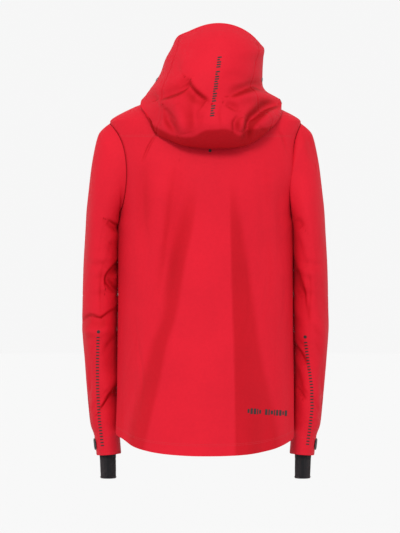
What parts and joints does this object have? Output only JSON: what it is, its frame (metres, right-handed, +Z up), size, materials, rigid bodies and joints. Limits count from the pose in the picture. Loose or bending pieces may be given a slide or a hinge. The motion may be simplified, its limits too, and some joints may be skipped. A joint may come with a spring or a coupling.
{
  "type": "hardshell jacket",
  "caption": "Hooded waterproof shell jacket in its worn shape: panelled body, full front zip, set-in sleeves with cuff tabs and wrist gaiters, hood lying down on the back.",
  "frame": {"origin": "middle of the neck opening, level with the centre-back neck seam, where the jacket sits on a wearer or form", "axes": "+Z up, -Y out of the chest (the zip side), +Y out of the back, +X the wearer's left"},
  "size_m": [0.518, 0.3437, 0.962],
  "materials": {
    "shell_fabric": "woven three-layer face fabric, water-repellent satin",
    "facing_fabric": "woven facing, matt",
    "lining_fabric": "brushed tricot, matt",
    "stretch_fabric": "fine stretch knit, matt",
    "loop_tape": "hook-and-loop pile",
    "tab_rubber": "moulded, matt",
    "zip_tape": "coated tape, satin",
    "zip_chain": "moulded coil, satin",
    "zip_metal": "enamelled, satin",
    "pull_plastic": "moulded, matt",
    "webbing": "woven webbing, matt",
    "label_fabric": "woven, blank, matt",
    "eyelet_metal": "plated, satin"
  },
  "bodies": {
    "shell": {"back_panel": "shell_fabric", "shoulder_yoke": "shell_fabric", "front_panel_left": "shell_fabric", "front_panel_right": "shell_fabric", "side_panel_left": "shell_fabric", "side_panel_right": "shell_fabric", "hem_facing": "facing_fabric", "collar_outer": "shell_fabric", "collar_lining": "lining_fabric", "chin_guard": "lining_fabric", "hang_loop": "webbing", "neck_label": "label_fabric", "zip_teeth_left": "zip_chain", "zip_teeth_right": "zip_chain", "zip_tape_left": "zip_tape", "zip_tape_right": "zip_tape", "zip_top_stops": "zip_metal", "zip_box": "zip_chain", "storm_flap": "shell_fabric", "pocket_zip_left": "zip_tape", "pocket_zip_right": "zip_tape", "pocket_bag_left": "facing_fabric", "pocket_bag_right": "facing_fabric", "hem_eyelets": "eyelet_metal"},
    "hood": {"hood_centre_panel": "shell_fabric", "hood_side_panel_left": "shell_fabric", "hood_side_panel_right": "shell_fabric", "hood_brim": "facing_fabric", "hood_eyelets": "eyelet_metal"},
    "main_slider": {"main_slider": "zip_metal"},
    "main_pull": {"main_pull": "pull_plastic"},
    "pocket_slider_left": {"pocket_slider_left": "zip_metal"},
    "pocket_slider_right": {"pocket_slider_right": "zip_metal"},
    "pocket_pull_left": {"pocket_pull_left": "pull_plastic"},
    "pocket_pull_right": {"pocket_pull_right": "pull_plastic"},
    "sleeve_left": {"upper_sleeve_left": "shell_fabric", "lower_sleeve_left": "shell_fabric", "cuff_left": "facing_fabric", "cuff_loop_left": "loop_tape", "wrist_gaiter_left": "stretch_fabric"},
    "sleeve_right": {"upper_sleeve_right": "shell_fabric", "lower_sleeve_right": "shell_fabric", "cuff_right": "facing_fabric", "cuff_loop_right": "loop_tape", "wrist_gaiter_right": "stretch_fabric"},
    "cuff_tab_left": {"cuff_tab_left": "tab_rubber"},
    "cuff_tab_right": {"cuff_tab_right": "tab_rubber"}
  },
  "joints": [
    {"name": "hood_lift", "type": "hinge", "parent": "shell", "child": "hood", "pos_m": [0, 0.04, 0.03], "axis": [1, 0, 0], "range_deg": [0, 70]},
    {"name": "main_zip", "type": "slide", "parent": "shell", "child": "main_slider", "axis": [0, -0.0785, -0.9969], "range_m": [0, 0.68]},
    {"name": "main_pull_swing", "type": "hinge", "parent": "main_slider", "child": "main_pull", "pos_m": [0, -0.10144, 0.01246], "axis": [-1, 0, 0], "range_deg": [0, 120]},
    {"name": "pocket_zip_left", "type": "slide", "parent": "shell", "child": "pocket_slider_left", "axis": [0.0064, -0.0593, -0.9982], "range_m": [0, 0.16]},
    {"name": "pocket_pull_left_swing", "type": "hinge", "parent": "pocket_slider_left", "child": "pocket_pull_left", "pos_m": [0.13209, -0.10275, -0.4217], "axis": [-0.8359, -0.5481, 0.0272], "range_deg": [0, 110]},
    {"name": "sleeve_left_raise", "type": "hinge", "parent": "shell", "child": "sleeve_left", "pos_m": [0.203, 0, -0.034], "axis": [0, -1, 0], "range_deg": [0, 50]},
    {"name": "cuff_tab_left_peel", "type": "hinge", "parent": "sleeve_left", "child": "cuff_tab_left", "pos_m": [0.22787, -0.08291, -0.718], "axis": [0, 0, -1], "range_deg": [0, 70]},
    {"name": "pocket_zip_right", "type": "slide", "parent": "shell", "child": "pocket_slider_right", "axis": [-0.0064, -0.0593, -0.9982], "range_m": [0, 0.16]},
    {"name": "pocket_pull_right_swing", "type": "hinge", "parent": "pocket_slider_right", "child": "pocket_pull_right", "pos_m": [-0.13209, -0.10275, -0.4217], "axis": [-0.8359, 0.5481, -0.0272], "range_deg": [0, 110]},
    {"name": "sleeve_right_raise", "type": "hinge", "parent": "shell", "child": "sleeve_right", "pos_m": [-0.203, 0, -0.034], "axis": [0, 1, 0], "range_deg": [0, 50]},
    {"name": "cuff_tab_right_peel", "type": "hinge", "parent": "sleeve_right", "child": "cuff_tab_right", "pos_m": [-0.22787, -0.08291, -0.718], "axis": [0, 0, 1], "range_deg": [0, 70]}
  ]
}
